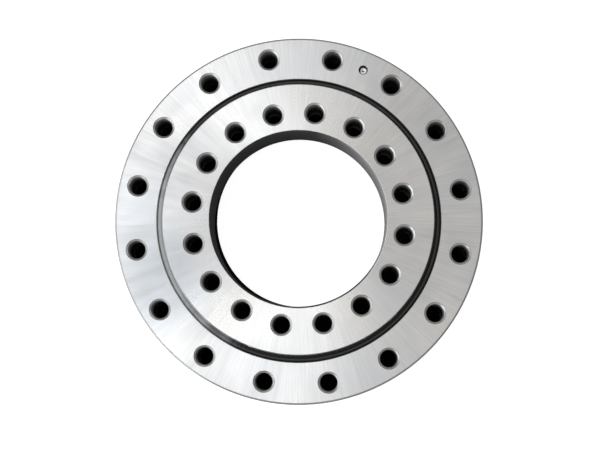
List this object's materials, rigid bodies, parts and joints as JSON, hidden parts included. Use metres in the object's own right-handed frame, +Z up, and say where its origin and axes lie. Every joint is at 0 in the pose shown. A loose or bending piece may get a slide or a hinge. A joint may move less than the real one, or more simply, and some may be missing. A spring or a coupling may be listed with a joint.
{
  "type": "slewing ring bearing",
  "caption": "Ungeared slewing ring: an inner ring turns in an outer ring on balls in a four-point contact raceway, with bolt holes in both rings, rubber seals, loading plug and grease nipples.",
  "frame": {"origin": "centre of the outer ring's bottom face, on the slewing axis", "axes": "+Z up along the slewing axis, with the inner ring standing proud on top; +Y out through a grease nipple, midway between two bolt holes of the outer ring"},
  "size_m": [0.304, 0.304, 0.06],
  "materials": {
    "ring_steel": "turned and ground bright steel, fine straight grinding marks, lightly oiled",
    "plug_steel": "hardened steel turned flush with the ring",
    "pin_steel": "bright ground steel",
    "seal_rubber": "black nitrile rubber with a light sheen of grease",
    "ball_steel": "polished bearing steel",
    "spacer_nylon": "natural nylon",
    "nipple_zinc": "zinc plated steel with a faint yellow passivation",
    "spring_wire": "drawn spring wire"
  },
  "bodies": {
    "outer": {"outer_ring": "ring_steel", "upper_seal": "seal_rubber", "loading_plug": "plug_steel", "taper_pin": "pin_steel", "grease_nipple_1": "nipple_zinc", "grease_nipple_2": "nipple_zinc", "nipple_spring_1": "spring_wire", "nipple_spring_2": "spring_wire"},
    "inner": {"inner_ring": "ring_steel", "lower_seal": "seal_rubber"},
    "ball_train": {"ball_spacers": "spacer_nylon"},
    "check_ball_1": {"nipple_check_ball_1": "ball_steel"},
    "check_ball_2": {"nipple_check_ball_2": "ball_steel"},
    "ball_01": {"ball_01": "ball_steel"},
    "ball_02": {"ball_02": "ball_steel"},
    "ball_03": {"ball_03": "ball_steel"},
    "ball_04": {"ball_04": "ball_steel"},
    "ball_05": {"ball_05": "ball_steel"},
    "ball_06": {"ball_06": "ball_steel"},
    "ball_07": {"ball_07": "ball_steel"},
    "ball_08": {"ball_08": "ball_steel"},
    "ball_09": {"ball_09": "ball_steel"},
    "ball_10": {"ball_10": "ball_steel"},
    "ball_11": {"ball_11": "ball_steel"},
    "ball_12": {"ball_12": "ball_steel"},
    "ball_13": {"ball_13": "ball_steel"},
    "ball_14": {"ball_14": "ball_steel"},
    "ball_15": {"ball_15": "ball_steel"},
    "ball_16": {"ball_16": "ball_steel"},
    "ball_17": {"ball_17": "ball_steel"},
    "ball_18": {"ball_18": "ball_steel"},
    "ball_19": {"ball_19": "ball_steel"},
    "ball_20": {"ball_20": "ball_steel"},
    "ball_21": {"ball_21": "ball_steel"},
    "ball_22": {"ball_22": "ball_steel"},
    "ball_23": {"ball_23": "ball_steel"},
    "ball_24": {"ball_24": "ball_steel"},
    "ball_25": {"ball_25": "ball_steel"},
    "ball_26": {"ball_26": "ball_steel"},
    "ball_27": {"ball_27": "ball_steel"},
    "ball_28": {"ball_28": "ball_steel"}
  },
  "joints": [
    {"name": "slew", "type": "hinge", "parent": "outer", "child": "inner", "pos_m": [0, 0, 0.03], "axis": [0, 0, 1], "continuous": true},
    {"name": "ball_orbit", "type": "hinge", "parent": "outer", "child": "ball_train", "pos_m": [0, 0, 0.03], "axis": [0, 0, 1], "continuous": true},
    {"name": "ball_01_spin", "type": "hinge", "parent": "ball_train", "child": "ball_01", "pos_m": [0.1113, 0.01254, 0.03], "axis": [0.7027, 0.0792, 0.7071], "continuous": true},
    {"name": "ball_02_spin", "type": "hinge", "parent": "ball_train", "child": "ball_02", "pos_m": [0.10571, 0.03699, 0.03], "axis": [0.6674, 0.2335, 0.7071], "continuous": true},
    {"name": "ball_03_spin", "type": "hinge", "parent": "ball_train", "child": "ball_03", "pos_m": [0.09483, 0.05959, 0.03], "axis": [0.5987, 0.3762, 0.7071], "continuous": true},
    {"name": "ball_04_spin", "type": "hinge", "parent": "ball_train", "child": "ball_04", "pos_m": [0.0792, 0.0792, 0.03], "axis": [0.5, 0.5, 0.7071], "continuous": true},
    {"name": "ball_05_spin", "type": "hinge", "parent": "ball_train", "child": "ball_05", "pos_m": [0.05959, 0.09483, 0.03], "axis": [0.3762, 0.5987, 0.7071], "continuous": true},
    {"name": "ball_06_spin", "type": "hinge", "parent": "ball_train", "child": "ball_06", "pos_m": [0.03699, 0.10571, 0.03], "axis": [0.2335, 0.6674, 0.7071], "continuous": true},
    {"name": "ball_07_spin", "type": "hinge", "parent": "ball_train", "child": "ball_07", "pos_m": [0.01254, 0.1113, 0.03], "axis": [0.0792, 0.7027, 0.7071], "continuous": true},
    {"name": "ball_08_spin", "type": "hinge", "parent": "ball_train", "child": "ball_08", "pos_m": [-0.01254, 0.1113, 0.03], "axis": [-0.0792, 0.7027, 0.7071], "continuous": true},
    {"name": "ball_09_spin", "type": "hinge", "parent": "ball_train", "child": "ball_09", "pos_m": [-0.03699, 0.10571, 0.03], "axis": [-0.2335, 0.6674, 0.7071], "continuous": true},
    {"name": "ball_10_spin", "type": "hinge", "parent": "ball_train", "child": "ball_10", "pos_m": [-0.05959, 0.09483, 0.03], "axis": [-0.3762, 0.5987, 0.7071], "continuous": true},
    {"name": "ball_11_spin", "type": "hinge", "parent": "ball_train", "child": "ball_11", "pos_m": [-0.0792, 0.0792, 0.03], "axis": [-0.5, 0.5, 0.7071], "continuous": true},
    {"name": "ball_12_spin", "type": "hinge", "parent": "ball_train", "child": "ball_12", "pos_m": [-0.09483, 0.05959, 0.03], "axis": [-0.5987, 0.3762, 0.7071], "continuous": true},
    {"name": "ball_13_spin", "type": "hinge", "parent": "ball_train", "child": "ball_13", "pos_m": [-0.10571, 0.03699, 0.03], "axis": [-0.6674, 0.2335, 0.7071], "continuous": true},
    {"name": "ball_14_spin", "type": "hinge", "parent": "ball_train", "child": "ball_14", "pos_m": [-0.1113, 0.01254, 0.03], "axis": [-0.7027, 0.0792, 0.7071], "continuous": true},
    {"name": "ball_15_spin", "type": "hinge", "parent": "ball_train", "child": "ball_15", "pos_m": [-0.1113, -0.01254, 0.03], "axis": [-0.7027, -0.0792, 0.7071], "continuous": true},
    {"name": "ball_16_spin", "type": "hinge", "parent": "ball_train", "child": "ball_16", "pos_m": [-0.10571, -0.03699, 0.03], "axis": [-0.6674, -0.2335, 0.7071], "continuous": true},
    {"name": "ball_17_spin", "type": "hinge", "parent": "ball_train", "child": "ball_17", "pos_m": [-0.09483, -0.05959, 0.03], "axis": [-0.5987, -0.3762, 0.7071], "continuous": true},
    {"name": "ball_18_spin", "type": "hinge", "parent": "ball_train", "child": "ball_18", "pos_m": [-0.0792, -0.0792, 0.03], "axis": [-0.5, -0.5, 0.7071], "continuous": true},
    {"name": "ball_19_spin", "type": "hinge", "parent": "ball_train", "child": "ball_19", "pos_m": [-0.05959, -0.09483, 0.03], "axis": [-0.3762, -0.5987, 0.7071], "continuous": true},
    {"name": "ball_20_spin", "type": "hinge", "parent": "ball_train", "child": "ball_20", "pos_m": [-0.03699, -0.10571, 0.03], "axis": [-0.2335, -0.6674, 0.7071], "continuous": true},
    {"name": "ball_21_spin", "type": "hinge", "parent": "ball_train", "child": "ball_21", "pos_m": [-0.01254, -0.1113, 0.03], "axis": [-0.0792, -0.7027, 0.7071], "continuous": true},
    {"name": "ball_22_spin", "type": "hinge", "parent": "ball_train", "child": "ball_22", "pos_m": [0.01254, -0.1113, 0.03], "axis": [0.0792, -0.7027, 0.7071], "continuous": true},
    {"name": "ball_23_spin", "type": "hinge", "parent": "ball_train", "child": "ball_23", "pos_m": [0.03699, -0.10571, 0.03], "axis": [0.2335, -0.6674, 0.7071], "continuous": true},
    {"name": "ball_24_spin", "type": "hinge", "parent": "ball_train", "child": "ball_24", "pos_m": [0.05959, -0.09483, 0.03], "axis": [0.3762, -0.5987, 0.7071], "continuous": true},
    {"name": "ball_25_spin", "type": "hinge", "parent": "ball_train", "child": "ball_25", "pos_m": [0.0792, -0.0792, 0.03], "axis": [0.5, -0.5, 0.7071], "continuous": true},
    {"name": "ball_26_spin", "type": "hinge", "parent": "ball_train", "child": "ball_26", "pos_m": [0.09483, -0.05959, 0.03], "axis": [0.5987, -0.3762, 0.7071], "continuous": true},
    {"name": "ball_27_spin", "type": "hinge", "parent": "ball_train", "child": "ball_27", "pos_m": [0.10571, -0.03699, 0.03], "axis": [0.6674, -0.2335, 0.7071], "continuous": true},
    {"name": "ball_28_spin", "type": "hinge", "parent": "ball_train", "child": "ball_28", "pos_m": [0.1113, -0.01254, 0.03], "axis": [0.7027, -0.0792, 0.7071], "continuous": true},
    {"name": "check_ball_1_travel", "type": "slide", "parent": "outer", "child": "check_ball_1", "axis": [0, -1, 0], "range_m": [0, 0.001], "stiffness_N_per_m": 400, "springref_m": -0.0025, "deforming": ["nipple_spring_1"]},
    {"name": "check_ball_2_travel", "type": "slide", "parent": "outer", "child": "check_ball_2", "axis": [0, 1, 0], "range_m": [0, 0.001], "stiffness_N_per_m": 400, "springref_m": -0.0025, "deforming": ["nipple_spring_2"]}
  ],
  "couplings": [
    {"joint": "ball_orbit", "follows": "slew", "ratio": 0.46843},
    {"joint": "ball_01_spin", "follows": "slew", "ratio": -5.5777},
    {"joint": "ball_02_spin", "follows": "slew", "ratio": -5.5777},
    {"joint": "ball_03_spin", "follows": "slew", "ratio": -5.5777},
    {"joint": "ball_04_spin", "follows": "slew", "ratio": -5.5777},
    {"joint": "ball_05_spin", "follows": "slew", "ratio": -5.5777},
    {"joint": "ball_06_spin", "follows": "slew", "ratio": -5.5777},
    {"joint": "ball_07_spin", "follows": "slew", "ratio": -5.5777},
    {"joint": "ball_08_spin", "follows": "slew", "ratio": -5.5777},
    {"joint": "ball_09_spin", "follows": "slew", "ratio": -5.5777},
    {"joint": "ball_10_spin", "follows": "slew", "ratio": -5.5777},
    {"joint": "ball_11_spin", "follows": "slew", "ratio": -5.5777},
    {"joint": "ball_12_spin", "follows": "slew", "ratio": -5.5777},
    {"joint": "ball_13_spin", "follows": "slew", "ratio": -5.5777},
    {"joint": "ball_14_spin", "follows": "slew", "ratio": -5.5777},
    {"joint": "ball_15_spin", "follows": "slew", "ratio": -5.5777},
    {"joint": "ball_16_spin", "follows": "slew", "ratio": -5.5777},
    {"joint": "ball_17_spin", "follows": "slew", "ratio": -5.5777},
    {"joint": "ball_18_spin", "follows": "slew", "ratio": -5.5777},
    {"joint": "ball_19_spin", "follows": "slew", "ratio": -5.5777},
    {"joint": "ball_20_spin", "follows": "slew", "ratio": -5.5777},
    {"joint": "ball_21_spin", "follows": "slew", "ratio": -5.5777},
    {"joint": "ball_22_spin", "follows": "slew", "ratio": -5.5777},
    {"joint": "ball_23_spin", "follows": "slew", "ratio": -5.5777},
    {"joint": "ball_24_spin", "follows": "slew", "ratio": -5.5777},
    {"joint": "ball_25_spin", "follows": "slew", "ratio": -5.5777},
    {"joint": "ball_26_spin", "follows": "slew", "ratio": -5.5777},
    {"joint": "ball_27_spin", "follows": "slew", "ratio": -5.5777},
    {"joint": "ball_28_spin", "follows": "slew", "ratio": -5.5777}
  ]
}
